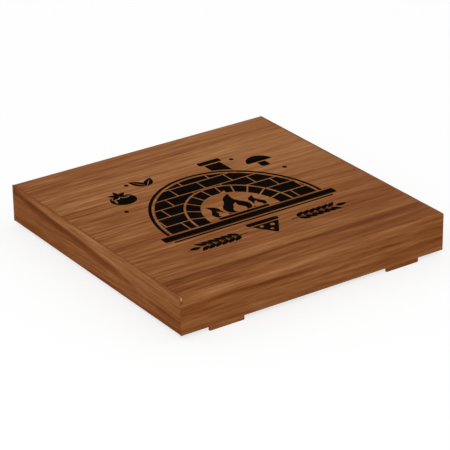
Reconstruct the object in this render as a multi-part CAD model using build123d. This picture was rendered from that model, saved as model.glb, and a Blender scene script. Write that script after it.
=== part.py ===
from build123d import *
import math
import os

# A closed pizza box folded from one printed blank of thin corrugated board.
# Millimetres, +Z up. The front wall faces -Y and the lid hinges along the rear wall, at +Y.
# The origin is the middle of the footprint, level with the tips of the front tongues.

# Outside sizes of the folded box
box_width = 320.0
box_depth = 320.0
wall_height = 41.0

# Board and folds
board = 1.6
fold_inner_radius = 0.4
layer_gap = 0.35
hinge_relief = 0.12

# Tongues of the front wall: freed by the slot cuts, they stand below the base when the wall is folded up
tongue_width = 41.0
tongue_inset = 32.0
tongue_corner_radius = 1.0

# Lock tabs of the rolled-over front panel, pushed through the same slots
lock_tab_side_gap = 1.2
lock_tab_reach = 2.2
lock_tab_chamfer = 1.2

# Corner ears: the ends of the side walls, folded in behind the front wall and the rear wall
front_ear_length = 30.0
rear_ear_length = 46.0
ear_slope = 4.0
ear_corner_radius = 5.0

# Lid
lid_side_gap = 0.4
lid_front_gap = 0.5
side_flap_floor_gap = 9.5
side_flap_front_setback = 12.0
side_flap_rear_setback = 16.0
side_flap_taper = 9.0
side_flap_corner_radius = 7.0
front_flap_floor_gap = 6.5
front_flap_lean_deg = 4.0
front_flap_side_setback = 4.0
front_flap_taper = 8.0
front_flap_corner_radius = 10.0

# Sizes that follow from the ones above
fold_centre_radius = fold_inner_radius + board / 2
ledge_depth = 3 * board + 2 * layer_gap
slot_reach = ledge_depth + layer_gap
tongue_drop = slot_reach - board
base_bottom = tongue_drop
base_top = base_bottom + board
box_top = base_bottom + wall_height
under_lid = box_top - board
side_face = box_width / 2
front_face = -box_depth / 2
rear_face = box_depth / 2
side_wall_front = front_face + board + layer_gap
side_wall_rear = rear_face - board - layer_gap
lid_half_width = side_face - board - lid_side_gap
lid_front_edge = front_face + ledge_depth + lid_front_gap
front_flap_root = lid_half_width - front_flap_side_setback
roll_half_width = side_face - board - layer_gap
fold_end = base_top + fold_inner_radius
join_height = fold_end + 2 * board
fold_start_height = box_top - board - fold_inner_radius
tongue_centre = side_face - tongue_inset - tongue_width / 2
overshoot = 1.0
slant_reach = board + overshoot
slant_opening = hinge_relief * slant_reach / board


def folded_board(*corners):
    """Section of one sheet of board whose middle line follows the corners, with a round fold at each."""
    middle_line = FilletPolyline(*corners, radius=fold_centre_radius)
    return trace(middle_line, board)


def along_x(section, half_width):
    """A section drawn in the Y-Z plane, pulled out evenly to left and right."""
    return extrude(Plane.YZ * section, amount=half_width, both=True)


def block(x_range, y_range, z_range):
    """A plain block between two corners, used to trim a fold or cut a slot."""
    size = [high - low for low, high in (x_range, y_range, z_range)]
    centre = [(high + low) / 2 for low, high in (x_range, y_range, z_range)]
    return Pos(*centre) * Box(*size)


def rounded_outline(points, rounded, radius):
    """A closed outline with some of its corners, given by their places in the list, made round."""
    face = make_face(Polyline(*points, close=True))
    corners = [face.vertices().sort_by_distance((*points[index], 0))[0] for index in rounded]
    return fillet(corners, radius)


def side_walls_and_base():
    """The base with its left and right walls, which rise from round folds."""
    wall_middle = side_face - board / 2
    seam = fold_end + layer_gap
    section = folded_board(
        (-wall_middle, seam),
        (-wall_middle, base_bottom + board / 2),
        (wall_middle, base_bottom + board / 2),
        (wall_middle, seam),
    )
    length = side_wall_rear - side_wall_front
    trough = extrude(Plane.XZ * section, amount=length)
    return Pos(0, side_wall_rear, 0) * trough


def ear_outline(length, toward_middle):
    """The free part of an ear in the X-Z plane: its long edges close in a little towards its end."""
    root = side_face - board / 2
    tip = side_face - length
    low = base_top + layer_gap
    high = under_lid - layer_gap
    points = [(root, low), (root, high), (tip, high - ear_slope), (tip, low + ear_slope)]
    points = [(x * toward_middle, z) for x, z in points]
    return rounded_outline(points, (2, 3), ear_corner_radius)


def side_wall_with_ears(side):
    """One side wall above the base fold, with the ear that turns inwards at each of its ends."""
    wall_middle = side * (side_face - board / 2)
    front_middle = side_wall_front + board / 2
    rear_middle = side_wall_rear - board / 2
    plan = folded_board(
        (side * (side_face - front_ear_length), front_middle),
        (wall_middle, front_middle),
        (wall_middle, rear_middle),
        (side * (side_face - rear_ear_length), rear_middle),
    )
    sheet = extrude(Pos(0, 0, fold_end) * plan, amount=box_top - fold_end)
    inner_face = side * (side_face - board)
    ear_zone_x = sorted((0.0, inner_face))
    for length, y_range in (
        (front_ear_length, (front_face, 0.0)),
        (rear_ear_length, (0.0, rear_face)),
    ):
        zone = block(ear_zone_x, y_range, (base_bottom, box_top + overshoot))
        outline = Plane.XZ * ear_outline(length, side)
        shape = extrude(outline, amount=box_depth, both=True)
        sheet -= zone - shape
    return sheet


def front_wall():
    """The front wall at full width, from the fold at the base to its top edge."""
    middle = front_face + board / 2
    section = folded_board((0, base_bottom + board / 2), (middle, base_bottom + board / 2), (middle, box_top))
    keep = block((-box_width, box_width), (front_face - overshoot, side_wall_front), (0, box_top))
    top_fold = block(
        (-roll_half_width, roll_half_width),
        (front_face - overshoot, side_wall_front),
        (fold_start_height, box_top + overshoot),
    )
    return (along_x(section, side_face) & keep) - top_fold


def rolled_front():
    """The front wall carried over the ledge and down inside, which clamps the front ears."""
    outer = front_face + board / 2
    inner = front_face + ledge_depth - board / 2
    section = folded_board(
        (outer, join_height),
        (outer, box_top - board / 2),
        (inner, box_top - board / 2),
        (inner, base_top + layer_gap),
    )
    return along_x(section, roll_half_width)


def lock_tab():
    """A tab on the bottom edge of the rolled-over panel, seated through its slot in the base."""
    half = tongue_width / 2 - lock_tab_side_gap
    top = join_height
    tip = base_bottom - lock_tab_reach
    points = [(-half, top), (half, top), (half, tip), (-half, tip)]
    face = make_face(Polyline(*points, close=True))
    face = chamfer(face.vertices().group_by(Axis.Y)[0], lock_tab_chamfer)
    tab = extrude(Plane.XZ * face, amount=board)
    return Pos(0, front_face + ledge_depth, 0) * tab


def tongue():
    """A tongue in the plane of the front wall, standing below the base where the slot was cut."""
    half = tongue_width / 2
    top = join_height
    points = [(-half, top), (half, top), (half, 0), (-half, 0)]
    face = rounded_outline(points, (2, 3), tongue_corner_radius)
    return Pos(0, front_face + board, 0) * extrude(Plane.XZ * face, amount=board)


def slot():
    """The slot that a tongue leaves in the base and through the fold."""
    half = tongue_width / 2
    y_range = (front_face - overshoot, front_face + slot_reach)
    return block((-half, half), y_range, (base_bottom - overshoot, fold_end))


def above_wall_slant():
    """What is cut from the top of the rear wall, down a slant that runs inwards from the hinge line."""
    inner = (rear_face - slant_reach, box_top - slant_reach - slant_opening)
    above = (rear_face - slant_reach, box_top + overshoot)
    outside = (rear_face, box_top + overshoot)
    section = make_face(Polyline((rear_face, box_top), inner, above, outside, close=True))
    return along_x(section, lid_half_width + lid_side_gap)


def below_lid_slant():
    """What is cut from the rear end of the lid, so that it meets the wall at the hinge line only."""
    inner = (rear_face - slant_reach - slant_opening, box_top - slant_reach)
    below = (rear_face + overshoot, box_top - slant_reach)
    outside = (rear_face + overshoot, box_top)
    section = make_face(Polyline((rear_face, box_top), inner, below, outside, close=True))
    return along_x(section, side_face)


def rear_wall():
    """The rear wall at full width, from the fold at the base to the hinge line at the outer top corner."""
    middle = rear_face - board / 2
    section = folded_board((0, base_bottom + board / 2), (middle, base_bottom + board / 2), (middle, box_top))
    keep = block((-box_width, box_width), (side_wall_rear, rear_face + overshoot), (0, box_top))
    return (along_x(section, side_face) & keep) - above_wall_slant()


def make_tray():
    """Everything of the blank below the hinge line, as one folded sheet."""
    tray = side_walls_and_base() + front_wall() + rear_wall() + rolled_front()
    for side in (-1, 1):
        tray += side_wall_with_ears(side)
        place = Pos(side * tongue_centre, 0, 0)
        tray -= place * slot()
        tray += place * tongue()
        tray += place * lock_tab()
    return tray


def lid_panel_and_side_flaps():
    """The lid's panel with the two dust flaps that go down inside the side walls."""
    flap_middle = lid_half_width - board / 2
    flap_bottom = base_top + side_flap_floor_gap
    section = folded_board(
        (-flap_middle, flap_bottom),
        (-flap_middle, box_top - board / 2),
        (flap_middle, box_top - board / 2),
        (flap_middle, flap_bottom),
    )
    sheet = Pos(0, rear_face, 0) * extrude(Plane.XZ * section, amount=rear_face - lid_front_edge)
    fold_start = lid_front_edge + board + fold_inner_radius
    sheet -= block((-front_flap_root, front_flap_root), (front_face, fold_start), (base_top, box_top + overshoot))
    low = flap_bottom
    high = fold_start_height
    front_root = lid_front_edge + side_flap_front_setback
    rear_root = rear_face - side_flap_rear_setback
    points = [
        (front_root, high),
        (rear_root, high),
        (rear_root - side_flap_taper, low),
        (front_root + side_flap_taper, low),
    ]
    outline = rounded_outline(points, (2, 3), side_flap_corner_radius)
    flaps = along_x(outline, lid_half_width + overshoot)
    below = block(
        (-side_face, side_face),
        (front_face, rear_face + overshoot),
        (low - overshoot, high),
    )
    return sheet - (below - flaps)


def front_flap():
    """The tuck flap at the lid's front edge, leaning inwards so that it clears the front wall as it lifts."""
    lean = math.radians(front_flap_lean_deg)
    fold_y = lid_front_edge + board / 2
    fold_z = box_top - board / 2
    bottom = base_top + front_flap_floor_gap
    tip = (fold_y + (fold_z - bottom) * math.tan(lean), bottom)
    section = folded_board((0, fold_z), (fold_y, fold_z), tip)
    half = front_flap_root
    sheet = along_x(section, half)
    high = fold_start_height
    low = bottom + board * math.sin(lean)
    points = [(-half, high), (half, high), (half - front_flap_taper, low), (front_flap_taper - half, low)]
    outline = rounded_outline(points, (2, 3), front_flap_corner_radius)
    shape = extrude(Plane.XZ * outline, amount=box_depth, both=True)
    below = block((-side_face, side_face), (front_face, 0), (base_top, high))
    return sheet - (below - shape)


def make_lid():
    """The lid's panel, dust flaps and tuck flap, as one folded sheet that turns on the rear fold."""
    return lid_panel_and_side_flaps() + front_flap() - below_lid_slant()


os.makedirs("parts", exist_ok=True)
for node, shape in (("tray", make_tray()), ("lid", make_lid())):
    export_step(Part(shape.solids()), f"parts/{node}.step")
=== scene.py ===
import math

import bmesh
import bpy
from mathutils import Matrix, Quaternion, Vector
from mathutils.geometry import delaunay_2d_cdt


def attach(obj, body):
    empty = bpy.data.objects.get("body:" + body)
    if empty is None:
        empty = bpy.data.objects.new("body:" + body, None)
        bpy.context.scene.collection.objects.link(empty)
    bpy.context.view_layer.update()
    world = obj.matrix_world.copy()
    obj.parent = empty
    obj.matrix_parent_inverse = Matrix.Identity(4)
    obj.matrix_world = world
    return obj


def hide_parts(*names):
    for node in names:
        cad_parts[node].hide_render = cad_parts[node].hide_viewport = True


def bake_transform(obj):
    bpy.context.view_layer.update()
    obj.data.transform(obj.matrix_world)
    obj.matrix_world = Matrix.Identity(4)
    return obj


# A closed pizza box folded from one printed blank of thin corrugated board.
# Metres, +Z up, front wall towards -Y. Each sheet is folded up from flat panels, so that print, liner
# and cut edges lie as on the real blank.

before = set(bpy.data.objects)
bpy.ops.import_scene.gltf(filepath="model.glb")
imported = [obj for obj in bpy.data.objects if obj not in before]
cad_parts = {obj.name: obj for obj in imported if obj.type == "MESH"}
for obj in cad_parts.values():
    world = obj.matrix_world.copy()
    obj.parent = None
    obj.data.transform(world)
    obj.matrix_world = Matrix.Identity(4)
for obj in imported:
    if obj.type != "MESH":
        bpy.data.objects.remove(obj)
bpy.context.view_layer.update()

# Outside sizes, as the solids have them
half_width = 0.160
base_underside = 0.00425
box_top = 0.04525

# Board and folds
board = 0.0016
outer_radius = 0.002
inner_radius = outer_radius - board
crease_radius = 0.0008
fold_steps = 9
layer_gap = 0.00035
slit = 0.0001
corner_steps = 7

# Tray
flat_half = half_width - outer_radius
wall_foot = base_underside + outer_radius
wall_head = box_top - outer_radius
wall_flat = wall_head - wall_foot
wall_height = box_top - wall_foot
roll_half = half_width - board - layer_gap
side_wall_half = roll_half - outer_radius
ledge_flat = 0.0015
inner_panel_foot = 0.0062
tongue_near = 0.087
tongue_far = 0.128
tongue_corner = 0.001
slot_end = 0.15415
tab_gap = 0.0012
tab_tip = 0.00205
tab_chamfer = 0.0012
front_ear = 0.030
rear_ear = 0.046
ear_slope = 0.004
ear_corner = 0.005
ear_head = box_top - board - layer_gap

# Lid
ink_film = 0.00005
lid_top = box_top - ink_film
lid_half = 0.158
lid_front = 0.154
side_flap_front = 0.142
side_flap_rear = 0.144
side_flap_foot = 0.01535
side_flap_taper = 0.009
side_flap_corner = 0.007
tuck_half = 0.154
tuck_foot = 0.01235
tuck_taper = 0.008
tuck_corner = 0.010
tuck_lean = math.radians(4)

# Cut edges: two paper liners, and the fluting between them set a little back
liner = 0.00022
recess = 0.0004
fluting = 0.0002
fluting_inset = 0.00008
crushed_end = 0.0003
flute_pitch = 0.0033
flute_samples = 8

# Points nearer than these are one, and faces that meet at less than this angle are shaded as one
weld = 0.000005
ink_weld = 1e-7
smooth_angle = math.radians(32)

# Kinds of outline edge: carried on by a fold, cut through the flutes, or cut where a fold crushed them
FOLD, CUT, CRUSHED = "fold", "cut", "crushed"


def add_object(name, data):
    made = bpy.data.objects.new(name, data)
    bpy.context.scene.collection.objects.link(made)
    return made


def add_mesh(name, mesh):
    """Turns a finished bmesh into an object."""
    data = bpy.data.meshes.new(name)
    mesh.to_mesh(data)
    mesh.free()
    return add_object(name, data)


class Flat:
    """A straight mapping of a panel's own two directions onto a plane, such as the print or the blank."""

    def __init__(self, origin, along, away):
        self.origin, self.along, self.away = Vector(origin), Vector(along), Vector(away)

    def at(self, u, v):
        return self.origin + self.along * u + self.away * v

    def carried(self, start, along, away):
        """The same mapping, seen by a panel whose own directions start elsewhere."""
        turn = Flat((0, 0), self.along, self.away)
        return Flat(self.at(*start), turn.at(*along), turn.at(*away))


class Panel:
    """A flat panel's place. Its printed face spans along and away, and printed and blank map it."""

    def __init__(self, origin, along, away, printed, blank, finish):
        self.origin, self.along, self.away = Vector(origin), Vector(along), Vector(away)
        self.normal = self.along.cross(self.away)
        self.printed, self.blank, self.finish = printed, blank, finish

    def at(self, u, v, depth=0.0):
        return self.origin + self.along * u + self.away * v - self.normal * depth


class Sheet:
    """Gathers the faces of one folded sheet, and of the fluting that its cut edges show."""

    def __init__(self):
        self.board, self.medium = bmesh.new(), bmesh.new()
        self.finishes = []

    def face(self, mesh, points, finish, printed, blank):
        """Adds one face with its finish and with its places on the print and on the blank."""
        if finish not in self.finishes:
            self.finishes.append(finish)
        made = mesh.faces.new([mesh.verts.new(point) for point in points])
        made.material_index = self.finishes.index(finish)
        for name, places in (("print", printed), ("blank", blank)):
            layer = mesh.loops.layers.uv.get(name) or mesh.loops.layers.uv.new(name)
            for loop, place in zip(made.loops, places):
                loop[layer].uv = place

    def flat_face(self, mesh, panel, corners, finish):
        """A face given by (u, v, depth) in a panel's own directions."""
        planes = panel.printed, panel.blank
        shown = [[plane.at(*corner[:2]) for corner in corners] for plane in planes]
        self.face(mesh, [panel.at(*corner) for corner in corners], finish, *shown)

    def panel(self, panel, *right):
        """A flat panel that is alike left and right, from the right half of its outline. That runs
        anticlockwise from a fold over the middle, as (u, v, kind of the edge that starts there)."""
        outline = crushed_ends(mirrored(right))
        points = [Vector(corner[:2]) for corner in outline]
        kinds = [corner[2] for corner in outline]
        self.flat_face(self.board, panel, [(*point, 0.0) for point in points], panel.finish)
        self.flat_face(self.board, panel, [(*point, board) for point in reversed(points)], "liner")
        count = len(points)
        for i in range(count):
            a, b = points[i], points[(i + 1) % count]
            if kinds[i] == CRUSHED:
                self.flat_face(self.board, panel, [(*a, 0.0), (*a, board), (*b, board), (*b, 0.0)], "edge")
            if kinds[i] == CUT and kinds[i - 1] != CUT:
                chain = [a]
                step = i
                while kinds[step % count] == CUT:
                    step += 1
                    chain.append(points[step % count])
                self.cut_edge(panel, chain)

    def cut_edge(self, panel, chain):
        """The edge along a chain of corners: a liner at each face and the fluting set back between them."""
        shifts = inward_shifts(chain)
        floor = [point + shift * recess for point, shift in zip(chain, shifts)]
        upper, lower = liner, board - liner
        rings = []
        for i in range(len(chain) - 1):
            a, b, c, d = chain[i], chain[i + 1], floor[i + 1], floor[i]
            rings += [
                ([(*a, 0.0), (*a, upper), (*b, upper), (*b, 0.0)], "edge"),
                ([(*a, upper), (*d, upper), (*c, upper), (*b, upper)], "flute"),
                ([(*d, upper), (*d, lower), (*c, lower), (*c, upper)], "flute"),
                ([(*d, lower), (*a, lower), (*b, lower), (*c, lower)], "flute"),
                ([(*a, lower), (*a, board), (*b, board), (*b, lower)], "edge"),
            ]
        a, b, c, d = chain[0], floor[0], chain[-1], floor[-1]
        rings.append(([(*a, lower), (*b, lower), (*b, upper), (*a, upper)], "flute"))
        rings.append(([(*c, upper), (*d, upper), (*d, lower), (*c, lower)], "flute"))
        for ring, finish in rings:
            self.flat_face(self.board, panel, ring, finish)
        self.fluting_ribbon(panel, chain, shifts)

    def fluting_ribbon(self, panel, chain, shifts):
        """The fluting that a cut lays bare: a wave across the flutes, and a straight line along them."""
        middle, swing = board / 2, (board - 2 * liner - fluting) / 2
        rings = []
        for i in range(len(chain) - 1):
            across = abs((panel.blank.at(*chain[i + 1]) - panel.blank.at(*chain[i])).x)
            samples = max(1, math.ceil(across / flute_pitch * flute_samples))
            for k in range(samples + (i == len(chain) - 2)):
                point = chain[i].lerp(chain[i + 1], k / samples)
                if 0 < k < samples:
                    shift = inward(chain[i], chain[i + 1])
                else:
                    shift = shifts[i] if k == 0 else shifts[i + 1]
                height = middle + swing * math.cos(2 * math.pi * panel.blank.at(*point).x / flute_pitch)
                low, high = height - fluting / 2, height + fluting / 2
                front, back = point + shift * fluting_inset, point + shift * (recess + slit)
                rings.append([(*front, low), (*front, high), (*back, high), (*back, low)])
        faces = [rings[0][::-1], rings[-1]]
        for ring, following in zip(rings, rings[1:]):
            for j in range(4):
                faces.append([ring[j], ring[(j + 1) % 4], following[(j + 1) % 4], following[j]])
        for face in faces:
            self.flat_face(self.medium, panel, face, "flute")

    def fold(self, panel, start, end, angle=math.pi / 2, printed=None, finish=None, caps="se", loose=""):
        """Turns the board towards its liner along the edge from start to end, and gives the next panel.

        The next panel starts at the middle of the edge. printed is its place on the print, where that
        doesn't just carry on. caps names the ends of the fold that are cut, s or e, and loose its sides
        that join nothing, p for this panel's and n for the next's.
        """
        start, end = Vector(start), Vector(end)
        edge = (end - start).normalized()
        out = Vector((edge.y, -edge.x))
        middle = (start + end) / 2
        profile = fold_profile(angle)
        reach = profile[-1][2]
        along = panel.along * edge.x + panel.away * edge.y
        outward = panel.along * out.x + panel.away * out.y
        turned_normal = panel.normal * math.cos(angle) + outward * math.sin(angle)
        following = Panel(
            panel.at(*middle) + (turned_normal - panel.normal) * outer_radius,
            -along,
            outward * math.cos(angle) - panel.normal * math.sin(angle),
            printed or panel.printed.carried(middle + out * reach, -edge, out),
            panel.blank.carried(middle + out * reach, -edge, out),
            finish or panel.finish,
        )

        def section(point):
            """The fold at one end: outer and inner points, with their places on the print and the blank."""
            corner = panel.at(*point)
            side = (middle - point).dot(edge)
            rows = []
            for k, (out_by, drop, length) in enumerate(profile):
                turn = angle * k / fold_steps
                ray = panel.normal * math.cos(turn) + outward * math.sin(turn)
                shown = [plane.at(side, length - reach) for plane in (following.printed, following.blank)]
                outer_point = corner + outward * out_by - panel.normal * drop
                inner_point = corner - panel.normal * outer_radius + ray * inner_radius
                rows.append((outer_point, inner_point, *shown))
            return rows

        def quad(corners, kind):
            places = [(row[side], row[2], row[3]) for row, side in corners]
            points, on_print, on_blank = zip(*places)
            self.face(self.board, points, kind, on_print, on_blank)

        first, last = section(start), section(end)
        outer, inner = 0, 1
        for k in range(fold_steps):
            s, t, e, f = first[k], first[k + 1], last[k], last[k + 1]
            quad([(s, outer), (t, outer), (f, outer), (e, outer)], following.finish)
            quad([(e, inner), (f, inner), (t, inner), (s, inner)], "liner")
            if "s" in caps:
                quad([(s, inner), (t, inner), (t, outer), (s, outer)], "edge")
            if "e" in caps:
                quad([(e, outer), (f, outer), (f, inner), (e, inner)], "edge")
        s, t, e, f = first[0], first[-1], last[0], last[-1]
        if "p" in loose:
            quad([(e, outer), (e, inner), (s, inner), (s, outer)], "edge")
        if "n" in loose:
            quad([(t, outer), (t, inner), (f, inner), (f, outer)], "edge")
        return following

    def build(self, name, materials):
        """Turns what was gathered into objects: the board, and the fluting where its edges show any."""
        made = []
        for mesh, ending in ((self.board, "board"), (self.medium, "fluting")):
            if not mesh.faces:
                mesh.free()
                continue
            bmesh.ops.remove_doubles(mesh, verts=mesh.verts, dist=weld)
            piece = add_mesh(f"{name}_{ending}", mesh)
            for finish in self.finishes:
                piece.data.materials.append(materials[finish])
            piece.data.shade_smooth()
            piece.data.set_sharp_from_angle(angle=smooth_angle)
            made.append(piece)
        return made


def fold_profile(angle):
    """A fold's path on the printed face, two flats and a tight arc, as (outwards, drop, length so far)."""
    corner = outer_radius * math.tan(angle / 2)
    flat = corner - crease_radius * math.tan(angle / 2)
    path = [(0.0, 0.0, 0.0)]
    arc_steps = fold_steps - 2
    for k in range(arc_steps + 1):
        turn = angle * k / arc_steps
        drop = crease_radius * (1 - math.cos(turn))
        path.append((flat + crease_radius * math.sin(turn), drop, flat + crease_radius * turn))
    end = corner + corner * math.cos(angle)
    path.append((end, corner * math.sin(angle), 2 * flat + crease_radius * angle))
    return path


def inward(a, b):
    """The direction into a panel from its edge a to b, for an anticlockwise outline."""
    edge = (b - a).normalized()
    return Vector((-edge.y, edge.x))


def mirrored(right):
    """A whole outline from its right half. The edge from the last corner to the first is a fold."""
    kinds = [FOLD, *[kind for _, _, kind in right[:-1]]]
    left = [(-u, v, kind) for (u, v, _), kind in zip(right, kinds)]
    return [left[0], *right, *left[:0:-1]]


def crushed_ends(outline):
    """An outline whose runs of cut edges have their flutes crushed shut at both ends, beside the folds."""
    corners = []
    for i, (*start, kind) in enumerate(outline):
        *end, after = outline[(i + 1) % len(outline)]
        a, b = Vector(start), Vector(end)
        step = (b - a).normalized() * crushed_end
        if kind == CUT and outline[i - 1][2] != CUT:
            corners += [(*a, CRUSHED), (*(a + step), CUT)]
        else:
            corners.append((*a, kind))
        if kind == CUT and after != CUT:
            corners.append((*(b - step), CRUSHED))
    return corners


def inward_shifts(chain):
    """For each corner of a chain of edges, how it moves when every edge moves inwards by one."""
    shifts = []
    for i in range(len(chain)):
        before = inward(chain[i - 1], chain[i]) if i > 0 else None
        after = inward(chain[i], chain[i + 1]) if i < len(chain) - 1 else None
        if before and after:
            shifts.append((before + after) / (1 + before.dot(after)))
        else:
            shifts.append(before or after)
    return shifts


def rounded(before, corner, after, radius):
    """The points of a round corner between two straight cut edges."""
    before, corner, after = Vector(before), Vector(corner), Vector(after)
    first, second = (before - corner).normalized(), (after - corner).normalized()
    half = first.angle(second) / 2
    centre = corner + (first + second).normalized() * (radius / math.sin(half))
    start = corner + first * (radius / math.tan(half)) - centre
    sweep = math.pi - 2 * half
    if first.cross(second) > 0:
        sweep = -sweep
    points = []
    for k in range(corner_steps + 1):
        cos, sin = math.cos(sweep * k / corner_steps), math.sin(sweep * k / corner_steps)
        x, y = start.x * cos - start.y * sin, start.x * sin + start.y * cos
        points.append((centre.x + x, centre.y + y, CUT))
    return points


def flap(half, reach, taper, corner):
    """The right half of a flap, which closes in from its fold towards two round corners."""
    foot = (half, 0.0)
    return [(*foot, CUT), *rounded(foot, (half - taper, reach), (taper - half, reach), corner)]


def fold_tray():
    """Base, walls, corner ears and the rolled-over front wall."""
    tray = Sheet()
    reach = fold_profile(math.pi / 2)[-1][2]
    blank = Flat((0, 0), (1, 0), (0, 1))
    printed = Flat((0, wall_foot - reach - flat_half), (1, 0), (0, 1))
    base = Panel((0, 0, base_underside), (1, 0, 0), (0, -1, 0), printed, blank, "front_print")
    tray.panel(
        base,
        (flat_half, -flat_half, CRUSHED),
        (flat_half, slit - flat_half, FOLD),
        (flat_half, flat_half - slit, CRUSHED),
        (flat_half, flat_half, FOLD),
        (tongue_far, flat_half, CUT),
        (tongue_far, slot_end, CUT),
        (tongue_near, slot_end, CUT),
        (tongue_near, flat_half, FOLD),
    )
    front = tray.fold(base, (tongue_near, flat_half), (-tongue_near, flat_half))
    tray.fold(base, (flat_half, flat_half), (tongue_far, flat_half), caps="e")
    tray.fold(base, (-tongue_far, flat_half), (-flat_half, flat_half), caps="s")
    tray.fold(base, (half_width, flat_half), (flat_half, flat_half), caps="s", loose="p")
    tray.fold(base, (-flat_half, flat_half), (-half_width, flat_half), caps="e", loose="p")
    fold_front(tray, front)

    for near, far, caps, loose in (
        (-half_width, -flat_half, "s", "p"),
        (flat_half, half_width, "e", "p"),
        (-flat_half, flat_half, "", ""),
    ):
        printed = Flat((-(near + far) / 2, flat_half + reach + wall_flat), (-1, 0), (0, -1))
        ends = (near, -flat_half), (far, -flat_half)
        rear = tray.fold(base, *ends, printed=printed, finish="lid_print", caps=caps, loose=loose)
    tray.panel(
        rear,
        (flat_half, 0, FOLD),
        (half_width, 0, CUT),
        (half_width, wall_height, CUT),
        (flat_half, wall_height, CUT),
        (flat_half, wall_flat, CRUSHED),
    )
    for side in (-1, 1):
        fold_side(tray, base, side)
    return tray


def fold_front(tray, front):
    """The front wall with its tongues, the ledge, and the inner panel with its lock tabs."""
    near, far = (tongue_near, -wall_foot), (tongue_far, -wall_foot)
    tray.panel(
        front,
        (tongue_near, 0, CUT),
        *rounded((tongue_near, 0), near, far, tongue_corner),
        *rounded(near, far, (tongue_far, 0), tongue_corner),
        (tongue_far, 0, FOLD),
        (flat_half, 0, FOLD),
        (half_width, 0, CUT),
        (half_width, wall_height, CUT),
        (roll_half, wall_height, CUT),
        (roll_half, wall_flat, FOLD),
    )
    ledge = tray.fold(front, (roll_half, wall_flat), (-roll_half, wall_flat))
    tray.panel(ledge, (roll_half, 0, CRUSHED), (roll_half, ledge_flat, FOLD))
    inner = tray.fold(ledge, (roll_half, ledge_flat), (-roll_half, ledge_flat))
    foot, tip = wall_head - inner_panel_foot, wall_head - tab_tip
    low, high = tongue_near + tab_gap, tongue_far - tab_gap
    tray.panel(
        inner,
        (roll_half, 0, CUT),
        (roll_half, foot, CUT),
        (high, foot, CUT),
        (high, tip - tab_chamfer, CUT),
        (high - tab_chamfer, tip, CUT),
        (low + tab_chamfer, tip, CUT),
        (low, tip - tab_chamfer, CUT),
        (low, foot, CUT),
    )


def fold_side(tray, base, side):
    """A side wall, whose ends turn in behind the front and rear walls as ears."""
    finish = "left_print" if side < 0 else "right_print"
    edge, towards, end = side * flat_half, side * side_wall_half, side * (flat_half - slit)
    for near, far, caps, loose in (
        (-end, -towards, "s", "n"),
        (towards, end, "e", "n"),
        (-towards, towards, "", ""),
    ):
        printed = Flat((-(near + far) / 2, wall_foot), (side, 0), (0, 1))
        ends = (edge, near), (edge, far)
        wall = tray.fold(base, *ends, printed=printed, finish=finish, caps=caps, loose=loose)
    tray.panel(
        wall,
        (side_wall_half, 0, CRUSHED),
        (side_wall_half, slit, FOLD),
        (side_wall_half, wall_height, CUT),
    )
    ear_low, ear_high = slit, ear_head - wall_foot
    for turn in (-1, 1):
        length = (rear_ear if turn * side > 0 else front_ear) - outer_radius
        u = turn * side_wall_half
        bottom, top, above = (u, ear_low), (u, ear_high), (u, wall_height)
        if turn > 0:
            ear = tray.fold(wall, bottom, top, caps="s")
            tray.fold(wall, top, above, caps="e", loose="n")
        else:
            ear = tray.fold(wall, top, bottom, caps="e")
            tray.fold(wall, above, top, caps="s", loose="n")
        tray.panel(ear, *flap((ear_high - ear_low) / 2, length, ear_slope, ear_corner))


def fold_lid():
    """The lid's panel, its two dust flaps and its tuck flap."""
    lid = Sheet()
    flat, front = lid_half - outer_radius, lid_front - outer_radius
    plane = Flat((0, 0), (1, 0), (0, 1))
    panel = Panel((0, 0, lid_top), (1, 0, 0), (0, 1, 0), plane, plane, "lid_print")
    lid.panel(
        panel,
        (tuck_half, -front, CUT),
        (tuck_half, -lid_front, CUT),
        (lid_half, -lid_front, CUT),
        (lid_half, -side_flap_front, CUT),
        (flat, -side_flap_front, FOLD),
        (flat, side_flap_rear, CUT),
        (lid_half, side_flap_rear, CUT),
        (lid_half, flat_half, CRUSHED),
    )
    half = (side_flap_front + side_flap_rear) / 2
    reach = lid_top - outer_radius - side_flap_foot
    dust_flap = flap(half, reach, side_flap_taper, side_flap_corner)
    lid.panel(lid.fold(panel, (flat, -side_flap_front), (flat, side_flap_rear)), *dust_flap)
    lid.panel(lid.fold(panel, (-flat, side_flap_rear), (-flat, -side_flap_front)), *dust_flap)
    tuck = lid.fold(panel, (-tuck_half, -front), (tuck_half, -front), angle=math.pi / 2 + tuck_lean)
    reach = (lid_top - outer_radius - tuck_foot) / math.cos(tuck_lean)
    lid.panel(tuck, *flap(tuck_half, reach, tuck_taper, tuck_corner))
    return lid


def hinge_crease():
    """The crease between the rear wall and the lid, which bends as the lid opens."""
    crease = Sheet()
    plane = Flat((0, 0), (1, 0), (0, 1))
    lid_end = Panel((0, 0, box_top), (1, 0, 0), (0, 1, 0), plane, plane, "lid_print")
    crease.fold(lid_end, (flat_half, flat_half), (-flat_half, flat_half), loose="pn")
    return crease


def circle(x, y, radius, steps=40):
    angles = [2 * math.pi * k / steps for k in range(steps)]
    return [(x + radius * math.cos(angle), y + radius * math.sin(angle)) for angle in angles]


def moved(shape, x=0.0, y=0.0, turn=0.0, mirror=1):
    """A shape turned about its own origin, mirrored left to right if asked, and then moved."""
    cos, sin = math.cos(turn), math.sin(turn)
    return [((px * cos - py * sin + x) * mirror, px * sin + py * cos + y) for px, py in shape]


def leaf(length, width, steps=12):
    """A pointed leaf that lies along +y from its stalk at the origin."""
    belly, fullness = 0.8, 0.9
    sides = []
    for k in range(steps + 1):
        share = k / steps
        sides.append((width / 2 * math.sin(math.pi * share**belly) ** fullness, length * share))
    return sides + [(-x, y) for x, y in reversed(sides[1:-1])]


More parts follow.
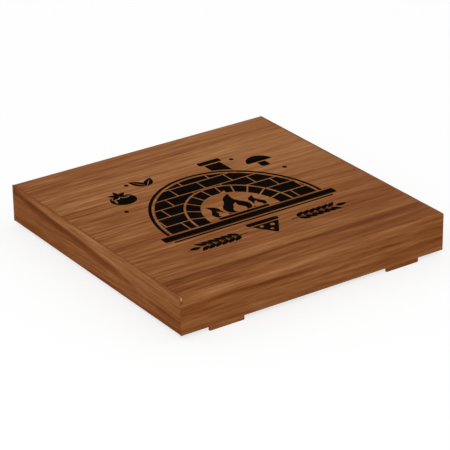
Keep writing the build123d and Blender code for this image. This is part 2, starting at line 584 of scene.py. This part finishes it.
def soft_polygon(corners, radii):
    """A closed outline with a round corner of the given radius at each of its corners."""
    points = []
    for i, (corner, radius) in enumerate(zip(corners, radii)):
        before, after = corners[i - 1], corners[(i + 1) % len(corners)]
        if radius:
            points += [point[:2] for point in rounded(before, corner, after, radius)]
        else:
            points.append(corner)
    return points


def arch(half, foot, head, steps=36):
    """A half ellipse that stands on a straight foot."""
    angles = [math.pi * k / steps for k in range(steps + 1)]
    return [(half * math.cos(angle), foot + (head - foot) * math.sin(angle)) for angle in angles]


def bar(left, right, low, high, radius=0.0):
    """An upright rectangle, with round corners if a radius is given."""
    return soft_polygon([(left, low), (right, low), (right, high), (left, high)], [radius] * 4)


def through(points, steps=6):
    """A smooth open line through some points."""
    line = []
    ends = [Vector(point) for point in (points[0], *points, points[-1])]
    for p, a, b, n in zip(ends, ends[1:], ends[2:], ends[3:]):
        for k in range(steps):
            t = k / steps
            bend = (2 * p - 5 * a + 4 * b - n) * t**2 + (3 * a - p - 3 * b + n) * t**3
            line.append(tuple(((2 * a) + (b - p) * t + bend) / 2))
    return line + [tuple(points[-1])]


def flame(height, width):
    """A flame whose tip leans to one side."""
    right = through([(0.0, 0.0), (0.42, 0.08), (0.52, 0.34), (0.30, 0.60), (0.26, 0.78), (0.34, 1.0)])
    left = through([(0.34, 1.0), (-0.02, 0.84), (-0.22, 0.60), (-0.48, 0.38), (-0.44, 0.10), (0.0, 0.0)])
    return [(x * width, y * height) for x, y in right[:-1] + left[:-1]]


def draw_oven(ink, bare):
    """The emblem's middle: a brick oven with a fire in its mouth, on a slab."""
    foot, dome_half, dome_head = -0.040, 0.0895, 0.0635
    ink(bar(0.030, 0.050, 0.040, 0.086), bar(0.0260, 0.0540, 0.0835, 0.0915, 0.0015))
    bare(bar(0.0240, 0.0560, 0.0815, 0.0835), arch(0.0985, foot, 0.0725))
    ink(arch(0.0960, foot, 0.0700))
    bare(arch(0.0925, foot, 0.0665))
    ink(arch(dome_half, foot, dome_head))
    joint, course, brick, courses = 0.0008, 0.0185, 0.034, 6
    for row in range(courses):
        low = foot + course * row
        reach = dome_half * math.sqrt(1 - ((low - foot) / (dome_head - foot)) ** 2)
        bare(bar(-reach, reach, low - joint, low + joint))
        for k in range(-3, 4):
            x = brick * (k + (0.5 if row % 2 else 0.0))
            above = foot + (dome_head - foot) * math.sqrt(max(0.0, 1 - (x / dome_half) ** 2))
            if above > low:
                bare(bar(x - joint, x + joint, low, min(low + course, above)))

    bare(arch(0.0600, foot, 0.0330))
    ink(arch(0.0575, foot, 0.0305))
    stones, arch_rise = 11, 1.2
    for k in range(1, stones):
        stone_joint = moved(bar(0.041, 0.060, -joint, joint), turn=math.pi * k / stones)
        bare([(x, foot + y * arch_rise) for x, y in stone_joint])
    bare(arch(0.0430, foot, 0.0145))
    flames = (-0.0215, 0.030, 0.021, -1), (0.0215, 0.028, 0.020, 1), (0.0, 0.0455, 0.030, 1)
    for x, height, width, mirror in flames:
        for grow, lay in ((1.22, bare), (1.0, ink), (0.48, bare)):
            shape = moved(flame(height * grow, width * grow), mirror=mirror)
            lay(moved(shape, x, foot + 0.004 + 0.002 * (1 - grow)))

    bare(bar(-0.034, 0.034, foot - 0.001, foot + 0.0062))
    ink(bar(-0.032, 0.030, foot, foot + 0.0045, 0.0022))
    ink(bar(-0.106, 0.106, foot - 0.0125, foot - 0.0020, 0.002))
    ink(bar(-0.098, 0.098, foot - 0.0175, foot - 0.0150, 0.001))


def draw_toppings(ink, bare):
    """Round the oven: a slice, two ears of wheat, a tomato, a mushroom, two leaves and four dots."""
    crust = -0.064
    slice_corners = [(-0.0165, crust - 0.0085), (0.0, -0.097), (0.0165, crust - 0.0085)]
    ink(soft_polygon(slice_corners, [0.001, 0.002, 0.001]))
    ink(bar(-0.0195, 0.0195, crust - 0.0068, crust, 0.003))
    for x, y, radius in ((-0.0070, -0.0765, 0.0022), (0.0052, -0.0780, 0.0026), (-0.0010, -0.0865, 0.0019)):
        bare(circle(x, y, radius, 20))

    stalk, outwards, grain_tilt = -0.080, -math.pi / 2, math.radians(34)
    ear = [bar(0.027, 0.075, stalk - 0.0006, stalk + 0.0006)]
    for k in range(6):
        for tilt in (1, -1):
            place = 0.036 + 0.0078 * k, stalk + tilt * 0.0013, outwards + tilt * grain_tilt
            ear.append(moved(leaf(0.0135, 0.0058), *place))
    ear.append(moved(leaf(0.0135, 0.0060), 0.0835, stalk, outwards))
    for mirror in (1, -1):
        ink(*[moved(shape, mirror=mirror) for shape in ear])

    x, y = -0.0850, 0.0600
    ink([(px * 1.12 + x, py + y) for px, py in circle(0.0, 0.0, 0.0130)])
    bare(moved(leaf(0.0100, 0.0024), x - 0.0098, y - 0.0050, math.radians(-8)))
    for grow, lay in ((1.0, bare), (0.62, ink)):
        for turn in (0, 62, -62, 118, -118):
            point = leaf(0.0125 * (0.85 + 0.15 * grow), 0.0085 * grow)
            lay(moved(point, x, y + 0.0100, math.radians(turn)))

    x, y = 0.0860, 0.0580
    ink(bar(x - 0.0052, x + 0.0052, y - 0.0130, y, 0.0024))
    bare(moved(arch(0.0165, -0.0018, 0.0160), x, y))
    ink(moved(arch(0.0155, 0.0, 0.0150), x, y))
    for turn, length, width in ((35, 0.022, 0.0105), (-40, 0.020, 0.0100)):
        place = (-0.0460, 0.0755, math.radians(turn))
        ink(moved(leaf(length, width), *place))
        bare(moved(leaf(length * 0.8, 0.0011), *place))
    for x, y in ((-0.0985, 0.0330), (0.0985, 0.0300), (0.0640, 0.0800), (-0.0640, 0.0880)):
        ink(circle(x, y, 0.0026, 16))


def inside(x, y, shape):
    """Whether a point lies inside a closed outline."""
    found = False
    for (ax, ay), (bx, by) in zip(shape, shape[1:] + shape[:1]):
        if (ay > y) != (by > y) and x < (bx - ax) * (y - ay) / (by - ay) + ax:
            found = not found
    return found


def emblem_piece(material):
    """The inked emblem as a thin film on the lid, cut exactly where an inked shape is on top."""
    layers = []

    def ink(*shapes):
        layers.extend((shape, True) for shape in shapes)

    def bare(*shapes):
        layers.extend((shape, False) for shape in shapes)

    draw_oven(ink, bare)
    draw_toppings(ink, bare)

    points, edges, boxes = [], [], []
    for shape, _ in layers:
        first = len(points)
        points += [Vector(point) for point in shape]
        edges += [(first + k, first + (k + 1) % len(shape)) for k in range(len(shape))]
        xs, ys = zip(*shape)
        boxes.append((min(xs), max(xs), min(ys), max(ys)))
    found, _, triangles, *_ = delaunay_2d_cdt(points, edges, [], 0, ink_weld)
    mesh = bmesh.new()
    corners = [mesh.verts.new((*point, box_top)) for point in found]
    for triangle in triangles:
        x = sum(found[i].x for i in triangle) / 3
        y = sum(found[i].y for i in triangle) / 3
        for (shape, inked), (left, right, low, high) in zip(reversed(layers), reversed(boxes)):
            if left < x < right and low < y < high and inside(x, y, shape):
                if inked:
                    mesh.faces.new([corners[i] for i in triangle])
                break
    bmesh.ops.delete(mesh, geom=[v for v in mesh.verts if not v.link_faces], context="VERTS")
    made = bmesh.ops.extrude_face_region(mesh, geom=list(mesh.faces))
    lowered = [item for item in made["geom"] if isinstance(item, bmesh.types.BMVert)]
    bmesh.ops.translate(mesh, verts=lowered, vec=(0, 0, -ink_film))
    bmesh.ops.recalc_face_normals(mesh, faces=mesh.faces)
    piece = add_mesh("lid_emblem", mesh)
    piece.data.materials.append(material)
    return piece


# Where most values of a noise lie, and the fibres of printed paper: how large and how high they are
noise_low, noise_high = 0.3, 0.7
fibre_length, fibre_width, fibre_height = 0.0012, 0.0006, 0.00004


class Nodes:
    """Adds nodes to a tree. An input that is given a socket is linked, and one given a value is set."""

    def __init__(self, tree):
        self.tree = tree
        tree.nodes.clear()

    def add(self, kind, inputs=None, **settings):
        made = self.tree.nodes.new(f"ShaderNode{kind}")
        for name, value in settings.items():
            setattr(made, name, value)
        for name, value in (inputs or {}).items():
            if isinstance(value, bpy.types.NodeSocket):
                self.tree.links.new(value, made.inputs[name])
            else:
                made.inputs[name].default_value = value
        return made

    def math(self, operation, *values, clamp=False):
        return self.add("Math", dict(enumerate(values)), operation=operation, use_clamp=clamp).outputs[0]

    def vary(self, tone, texture, amount):
        """A tone with a texture between 0 and 1 added to it. The texture's middle changes nothing."""
        return self.math("MULTIPLY_ADD", self.math("SUBTRACT", texture, 0.5), amount, tone)

    def place(self, uv_map):
        return self.add("UVMap", uv_map=uv_map).outputs["UV"]

    def noise(self, place, along, across, seed, detail=2.0, roughness=0.5):
        """Noise between 0 and 1 whose lumps are about along by across metres."""
        inputs = {0: place, 1: (1 / along, 1 / across, 0.0), 2: (seed, seed * 0.7, seed)}
        scaled = self.add("VectorMath", inputs, operation="MULTIPLY_ADD").outputs[0]
        inputs = {"Vector": scaled, "Scale": 1.0, "Detail": detail, "Roughness": roughness}
        return self.add("TexNoise", inputs).outputs["Fac"]

    def remap(self, value, low, high, to_low, to_high, smooth=False):
        inputs = {0: value, 1: low, 2: high, 3: to_low, 4: to_high}
        kind = "SMOOTHSTEP" if smooth else "LINEAR"
        return self.add("MapRange", inputs, interpolation_type=kind).outputs[0]

    def ramp(self, value, stops):
        made = self.add("ValToRGB", {0: value})
        elements = made.color_ramp.elements
        while len(elements) < len(stops):
            elements.new(0.5)
        for element, (position, colour) in zip(elements, stops):
            element.position = position
            element.color = linear(colour)
        return made.outputs[0]

    def bump(self, height, distance, normal=None):
        inputs = {"Strength": 1.0, "Distance": distance, "Height": height}
        if normal:
            inputs["Normal"] = normal
        return self.add("Bump", inputs).outputs[0]

    def surface(self, colour, fibres, roughness, specular, normal):
        """Ends a material. Its roughness follows its fibres, between two values."""
        inputs = {
            "Base Color": colour,
            "Roughness": self.remap(fibres, noise_low, noise_high, *roughness),
            "Specular IOR Level": specular,
            "Normal": normal,
        }
        shader = self.add("BsdfPrincipled", inputs)
        self.add("OutputMaterial", {"Surface": shader.outputs[0]})


def new_material(name):
    """A material whose tree is empty, and what adds nodes to it."""
    material = bpy.data.materials.new(name)
    material.use_nodes = True
    return material, Nodes(material.node_tree)


def linear(colour):
    """A colour given as 0 to 255 on screen, as light."""
    levels = [level / 255 for level in colour]
    return (*[x / 12.92 if x <= 0.04045 else ((x + 0.055) / 1.055) ** 2.4 for x in levels], 1.0)


def stroke_group():
    """Adds a stroke of lighter or darker grain to a tone. It ends more sharply on its far side."""
    group = bpy.data.node_groups.new("grain_stroke", "ShaderNodeTree")
    names = "Tone", "Along", "Across", "Start", "Length", "Line", "Slope", "Width", "Widening", "Change"
    for name in names:
        group.interface.new_socket(name, in_out="INPUT", socket_type="NodeSocketFloat")
    group.interface.new_socket("Tone", in_out="OUTPUT", socket_type="NodeSocketFloat")
    near_edge, crest, far_edge, fade = -1.2, 0.1, 0.7, 0.25
    nodes = Nodes(group)
    given = group.nodes.new("NodeGroupInput").outputs
    share = nodes.math("DIVIDE", nodes.math("SUBTRACT", given["Along"], given["Start"]), given["Length"])
    line = nodes.math("MULTIPLY_ADD", share, given["Slope"], given["Line"])
    width = nodes.math("MULTIPLY_ADD", share, given["Widening"], given["Width"])
    offset = nodes.math("DIVIDE", nodes.math("SUBTRACT", given["Across"], line), width)
    near_side = nodes.remap(offset, near_edge, crest, 0.0, 1.0, smooth=True)
    body = nodes.math("MULTIPLY", near_side, nodes.remap(offset, crest, far_edge, 1.0, 0.0, smooth=True))
    fade_in = nodes.remap(share, 0.0, fade, 0.0, 1.0, smooth=True)
    fade_out = nodes.remap(share, 1.0 - fade, 1.0, 1.0, 0.0, smooth=True)
    mask = nodes.math("MULTIPLY", body, nodes.math("MULTIPLY", fade_in, fade_out))
    result = nodes.math("MULTIPLY_ADD", mask, given["Change"], given["Tone"])
    group.links.new(result, group.nodes.new("NodeGroupOutput").inputs[0])
    return group


# The tone of the print is the red level of its colour on screen. From dark to light it takes these colours
bare_paper = (220, 188, 152)
lid_colours = (
    (80, 38, 13), (105, 54, 22), (120, 67, 30), (132, 79, 40), (150, 98, 56), (180, 129, 86), bare_paper
)
wall_colours = (
    (80, 38, 10), (105, 54, 18), (120, 66, 28), (132, 78, 40), (150, 97, 57), (180, 128, 87), bare_paper
)

# Streaks of the grain from broad to fine, as length, width, seed, detail and strength in levels of tone
streaks = (
    (0.300, 0.0500, 1.3, 1.0, 20),
    (0.160, 0.0095, 5.9, 2.0, 40),
    (0.075, 0.0040, 8.2, 2.0, 52),
    (0.030, 0.0020, 11.7, 2.0, 40),
    (0.014, 0.0006, 14.2, 2.0, 28),
)
# Year rings, as distance apart, seed and strength. A ring darkens slowly, ends at once and comes and goes
rings = ((0.0230, 2.7, 12), (0.0085, 6.4, 10))
ring_start, ring_peak, ring_mean, ring_drift = 0.25, 0.90, 0.16, 4.0
patch_edge, patch_full = 0.40, 0.62
grain_wander = 0.008
board_unevenness = 0.0012

# Spots at one corner, as place, radius and change of tone: two painted highlights, paler towards bare
# paper, and below them a dark spot, the painted shade of a dent
corner_highlight_and_shade = (
    ((-0.1596, -0.1600, 0.0442), 0.0016, 44),
    ((-0.1594, -0.1600, 0.0425), 0.0014, 34),
    ((-0.1590, -0.1600, 0.0398), 0.0018, -34),
)
corner_spot_raggedness, corner_spot_core = 900.0, 0.4


def painted_corner_spots(nodes, tone, scale=1.0):
    """A tone with the ragged corner spots added to it: painted highlights and a painted shade."""
    place = nodes.add("TexCoord").outputs["Object"]
    texture = {"Vector": place, "Scale": corner_spot_raggedness, "Detail": 3.0}
    ragged = nodes.add("TexNoise", texture).outputs["Fac"]
    for centre, radius, change in corner_highlight_and_shade:
        distance = nodes.add("VectorMath", {0: place, 1: centre}, operation="DISTANCE").outputs["Value"]
        distance = nodes.vary(distance, ragged, radius)
        spot = nodes.remap(distance, corner_spot_core * radius, radius, 1.0, 0.0, smooth=True)
        tone = nodes.math("MULTIPLY_ADD", spot, change * scale, tone)
    return tone


def printed_board(name, seed, tone, colours, strokes, group, contrast=(1.0, 1.0)):
    """Satin wood-grain print about a tone. contrast is the grain's strength at the panel's two ends."""
    material, nodes = new_material(name)
    place = nodes.place("print")
    wander = nodes.math("SUBTRACT", nodes.noise(place, 0.16, 0.05, seed + 3.1, detail=1.0), 0.5)
    sideways = nodes.add("CombineXYZ", {"Y": wander}).outputs[0]
    inputs = {0: sideways, 1: (0.0, grain_wander, 0.0), 2: place}
    shifted = nodes.add("VectorMath", inputs, operation="MULTIPLY_ADD").outputs[0]
    along, across, _ = nodes.add("SeparateXYZ", {0: shifted}).outputs

    level = 0.0
    for length, width, phase, detail, amount in streaks:
        level = nodes.vary(level, nodes.noise(shifted, length, width, seed + phase, detail), amount)
    for period, phase, amount in rings:
        phase += seed
        drift = nodes.noise(shifted, 0.5, period * 2.5, phase, detail=1.0)
        turns = nodes.math("MULTIPLY_ADD", drift, ring_drift, nodes.math("DIVIDE", across, period))
        ring = nodes.math("FRACT", turns)
        rise = nodes.remap(ring, ring_start, ring_peak, 0.0, 1.0)
        shade = nodes.math("MULTIPLY", rise, nodes.remap(ring, ring_peak, 1.0, 1.0, 0.0, smooth=True))
        patches = nodes.noise(shifted, 0.13, period * 1.2, phase + 1.9)
        patches = nodes.remap(patches, patch_edge, patch_full, 0.0, 1.0, smooth=True)
        shade = nodes.math("MULTIPLY", shade, patches)
        level = nodes.math("MULTIPLY_ADD", nodes.math("SUBTRACT", shade, ring_mean), -amount, level)
    strength = nodes.remap(along, -half_width, half_width, *contrast)
    level = nodes.math("MULTIPLY_ADD", level, strength, tone)
    for *pairs, change in strokes:
        (start, line), (end, end_line), (width, end_width) = [(a / 1000, b / 1000) for a, b in pairs]
        sizes = start, end - start, line, end_line - line, width, end_width - width
        values = dict(enumerate((level, along, across, *sizes, change)))
        level = nodes.add("Group", values, node_tree=group).outputs[0]
    # The painted highlight and shade at the front left corner of the print
    level = painted_corner_spots(nodes, level)
    darkest, lightest = colours[0][0], colours[-1][0]
    share = nodes.remap(level, darkest, lightest, 0.0, 1.0)
    stops = [((shade[0] - darkest) / (lightest - darkest), shade) for shade in colours]

    place = nodes.place("blank")
    fibres = nodes.noise(place, fibre_length, fibre_width, seed + 2.0, detail=3.0, roughness=0.6)
    unevenness = nodes.noise(place, 0.05, 0.04, seed + 4.0, detail=1.0)
    normal = nodes.bump(fibres, fibre_height, normal=nodes.bump(unevenness, board_unevenness))
    nodes.surface(nodes.ramp(share, stops), fibres, (0.60, 0.76), 0.04, normal)
    return material


def liner_board(name):
    """Bare brown liner: paper fibres, cloudy tone, and the flutes showing through as faint ridges."""
    material, nodes = new_material(name)
    place = nodes.place("blank")
    fibres = nodes.noise(place, 0.0009, 0.0040, 7.0, detail=3.0, roughness=0.65)
    bands_per_metre = 3.18
    wave = {"Vector": place, "Scale": 1 / flute_pitch / bands_per_metre, "Distortion": 0.0}
    flutes = nodes.add("TexWave", wave).outputs["Fac"]
    tone = nodes.vary(0.5, nodes.noise(place, 0.11, 0.16, 4.0), 0.5)
    tone = nodes.vary(tone, fibres, 0.8)
    tone = nodes.vary(tone, nodes.noise(place, 0.0030, 0.0180, 9.0), 0.5)
    tone = nodes.vary(tone, flutes, 0.16)
    specks = nodes.noise(place, 0.0016, 0.0020, 9.0, detail=1.0)
    tone = nodes.math("ADD", tone, nodes.remap(specks, 0.68, 0.76, 0.0, -0.35, smooth=True))
    colour = nodes.ramp(tone, [(0.0, (138, 98, 60)), (0.5, (172, 129, 86)), (1.0, (194, 153, 108))])
    normal = nodes.bump(fibres, 0.00005, normal=nodes.bump(flutes, 0.00005))
    nodes.surface(colour, fibres, (0.78, 0.92), 0.15, normal)
    return material


def edge_board(name, colours):
    """Cut paper: rougher than the liner, with short fibres. colours run from dark to light."""
    material, nodes = new_material(name)
    place = nodes.place("blank")
    fibres = nodes.noise(place, 0.0005, 0.0005, 3.0)
    tone = nodes.vary(fibres, nodes.noise(place, 0.02, 0.02, 5.0), 0.8)
    # The corner's painted highlight and shade, scaled to this tone's range
    tone = painted_corner_spots(nodes, tone, scale=0.01)
    colour = nodes.ramp(tone, list(zip((0.2, 0.5, 0.8, 1.0), (*colours, bare_paper))))
    nodes.surface(colour, fibres, (0.82, 0.95), 0.1, nodes.bump(fibres, 0.00008))
    return material


def black_ink(name):
    """Black ink over the printed grain, very slightly uneven, as it lies on paper."""
    material, nodes = new_material(name)
    place = nodes.add("TexCoord").outputs["Object"]
    grain = nodes.noise(place, 0.05, 0.0030, 12.0)
    fibres = nodes.noise(place, fibre_length, fibre_width, 2.0, detail=3.0, roughness=0.6)
    colour = nodes.ramp(grain, [(0.25, (9, 6, 4)), (0.5, (15, 11, 8)), (0.75, (25, 18, 13))])
    nodes.surface(colour, fibres, (0.55, 0.70), 0.0, nodes.bump(fibres, fibre_height))
    return material


# Strokes of the printed grain, in millimetres: start, end, half width at each end, and change of tone. The
# first two of the front are a painted highlight.
lid_strokes = (
    ((-300, 132), (260, 130), (10, 8), -7),
    ((-120, 152), (200, 152), (12, 12), 9),
    ((-200, 6), (240, 4), (7, 6), -13),
    ((-200, -36), (60, -40), (10, 8), -12),
    ((-260, -53), (60, -56), (5, 4), -9),
    ((20, -43), (240, -47), (16, 10), -10),
    ((-340, -129), (300, -124), (10, 6), -29),
    ((-300, -148), (300, -146), (24, 24), -8),
    ((-340, -135), (300, -137), (10, 14), -10),
    ((-340, -146), (-20, -146), (10, 10), -9),
    ((-340, -80), (340, -80), (40, 40), -6),
    ((-120, 138), (200, 138), (22, 22), 5),
    ((-200, 130), (-80, 130), (12, 10), 9),
    ((-200, 151), (-80, 152), (8, 6), -9),
    ((0, 100), (340, 95), (50, 50), 8),
    ((40, -95), (300, -93), (40, 40), -9),
    ((-120, -113), (180, -113), (10, 9), 9),
    ((-260, 98), (300, 98), (35, 45), 9),
    ((0, 50), (340, 40), (45, 60), 12),
    ((40, 68), (300, 68), (12, 12), 9),
    ((-200, 70), (0, 70), (12, 12), 8),
    ((60, -70), (300, -70), (10, 10), -9),
    ((-240, 64), (-40, 62), (2.2, 1.8), -10),
    ((-260, 40), (-60, 41), (2, 1.6), -9),
)
left_strokes = (
    ((200, 45), (-120, 38.5), (3, 11), 15),
    ((120, 41), (-70, 30), (2.2, 3), 10),
    ((-30, 29.5), (-150, 36), (2.6, 2.2), 8),
    ((260, 47.2), (-100, 20.3), (12.5, 4), -30),
    ((40, 31), (-200, 32.5), (5, 6), 7),
    ((80, 17), (-200, 16), (3, 2), -6),
    ((150, 13), (-60, 12), (2, 1.6), -6),
    ((200, 21), (-20, 18.5), (2.2, 1.8), 5),
    ((260, 8.5), (80, 10), (6, 4), -18),
    ((-40, 7), (-240, 7), (4, 4), -9),
)
front_strokes = (
    # A painted highlight along the top of the front wall and over its fold, in the next two strokes
    ((-260, 40), (60, 41), (6, 5), 18),
    ((-180, 44), (110, 44), (4, 4), 15),
    ((-260, 30.5), (10, 33.5), (7, 3), -28),
    ((-150, 20.5), (20, 21.5), (1.4, 1.2), -7),
    ((-150, 16.5), (10, 16), (1.4, 1.2), -7),
    ((-20, 18.5), (130, 33), (1.3, 1.4), -8),
    ((60, 14.5), (200, 28.5), (1.4, 1.4), -8),
    ((-20, 13), (220, 14), (4, 5), 11),
    ((60, 25), (200, 25), (18, 18), -4),
)
right_strokes = (
    ((-200, 38), (100, 33), (5, 6), 12),
    ((-180, 26), (160, 22), (6, 4), -14),
    ((-100, 14), (200, 15), (2.5, 2), -7),
    ((20, 30), (220, 34), (3, 3), -6),
)

stroke = stroke_group()
materials = {
    # Each face's print lies about its own tone, painted light and shade between faces: the lid lightest,
    # then the front, the side walls darkest
    "lid_print": printed_board("lid_print", 2.0, 136, lid_colours, lid_strokes, stroke, (1.25, 0.70)),
    "front_print": printed_board("front_print", 17.0, 134, wall_colours, front_strokes, stroke),
    "left_print": printed_board("left_print", 31.0, 130, wall_colours, left_strokes, stroke),
    "right_print": printed_board("right_print", 47.0, 130, wall_colours, right_strokes, stroke),
    "liner": liner_board("bare_liner"),
    "edge": edge_board("cut_edge", ((108, 62, 28), (130, 78, 40), (154, 98, 56))),
    # The fluting is paler than the cut edge: in part another paper, in part painted light that makes up for
    # the shade in its recess
    "flute": edge_board("fluting", ((124, 72, 34), (152, 92, 48), (178, 120, 72))),
}

tray_pieces = fold_tray().build("tray", materials)
lid_pieces = fold_lid().build("lid", materials)
emblem = emblem_piece(black_ink("black_ink"))

for piece in tray_pieces:
    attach(piece, "tray")
for piece in (*lid_pieces, emblem):
    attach(piece, "lid")
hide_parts("tray")
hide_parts("lid")

# The crease between the rear wall and the lid, fixed in place as it lies with the lid shut
(crease,) = hinge_crease().build("hinge", materials)
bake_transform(crease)

# A white floor that glows a little to the camera, so that it ends nowhere and still takes a shadow
floor_size, floor_white, floor_glow, glow_share = 8.0, 0.9, 1.05, 0.7
floor_mesh = bmesh.new()
bmesh.ops.create_grid(floor_mesh, x_segments=1, y_segments=1, size=floor_size)
floor = add_mesh("floor", floor_mesh)

floor_material, nodes = new_material("white_floor")
matte = nodes.add("BsdfDiffuse", {"Color": (floor_white, floor_white, floor_white, 1.0)})
glow = nodes.add("Emission", {"Color": (1.0, 1.0, 1.0, 1.0), "Strength": floor_glow})
seen = nodes.math("MULTIPLY", nodes.add("LightPath").outputs["Is Camera Ray"], glow_share)
mixed = nodes.add("MixShader", {0: seen, 1: matte.outputs[0], 2: glow.outputs[0]})
nodes.add("OutputMaterial", {"Surface": mixed.outputs[0]})
floor.data.materials.append(floor_material)

# The world lights the box at one level, and is white to the camera, to gloss and through glass
world = bpy.data.worlds.new("studio")
bpy.context.scene.world = world
world.use_nodes = True
nodes = Nodes(world.node_tree)
light_path = nodes.add("LightPath").outputs
white_ray = nodes.math("ADD", light_path["Is Camera Ray"], light_path["Is Glossy Ray"], clamp=True)
white_ray = nodes.math("ADD", white_ray, light_path["Is Transmission Ray"], clamp=True)
studio_level = 0.86
strength = nodes.remap(white_ray, 0.0, 1.0, studio_level, 1.0)
sky = nodes.add("Background", {"Color": (1.0, 1.0, 1.0, 1.0), "Strength": strength})
nodes.add("OutputWorld", {"Surface": sky.outputs[0]})

# One wide, soft lamp that looks at the box
key_place = Vector((-1.6, -1.2, 1.9))
lamp = bpy.data.lights.new("key", "AREA")
lamp.shape, lamp.size, lamp.energy = "DISK", 1.8, 14.0
key = add_object("key", lamp)
key.location = key_place
key.rotation_euler = (-key_place).to_track_quat("-Z", "Y").to_euler()

camera_place = Vector((-1.17954, -1.73570, 1.00786))
camera_aim = Vector((-0.01058, -0.01611, 0.02472))
camera_roll = math.radians(-0.76)
camera_data = bpy.data.cameras.new("camera")
camera_data.lens, camera_data.sensor_width = 179.06, 36.0
camera_data.clip_start, camera_data.clip_end = 0.05, 50.0
camera = add_object("camera", camera_data)
look = (camera_aim - camera_place).to_track_quat("-Z", "Y") @ Quaternion((0, 0, 1), camera_roll)
camera.matrix_world = Matrix.Translation(camera_place) @ look.to_matrix().to_4x4()
bpy.context.scene.camera = camera
bpy.context.scene.view_settings.view_transform = "Standard"

bpy.context.view_layer.update()
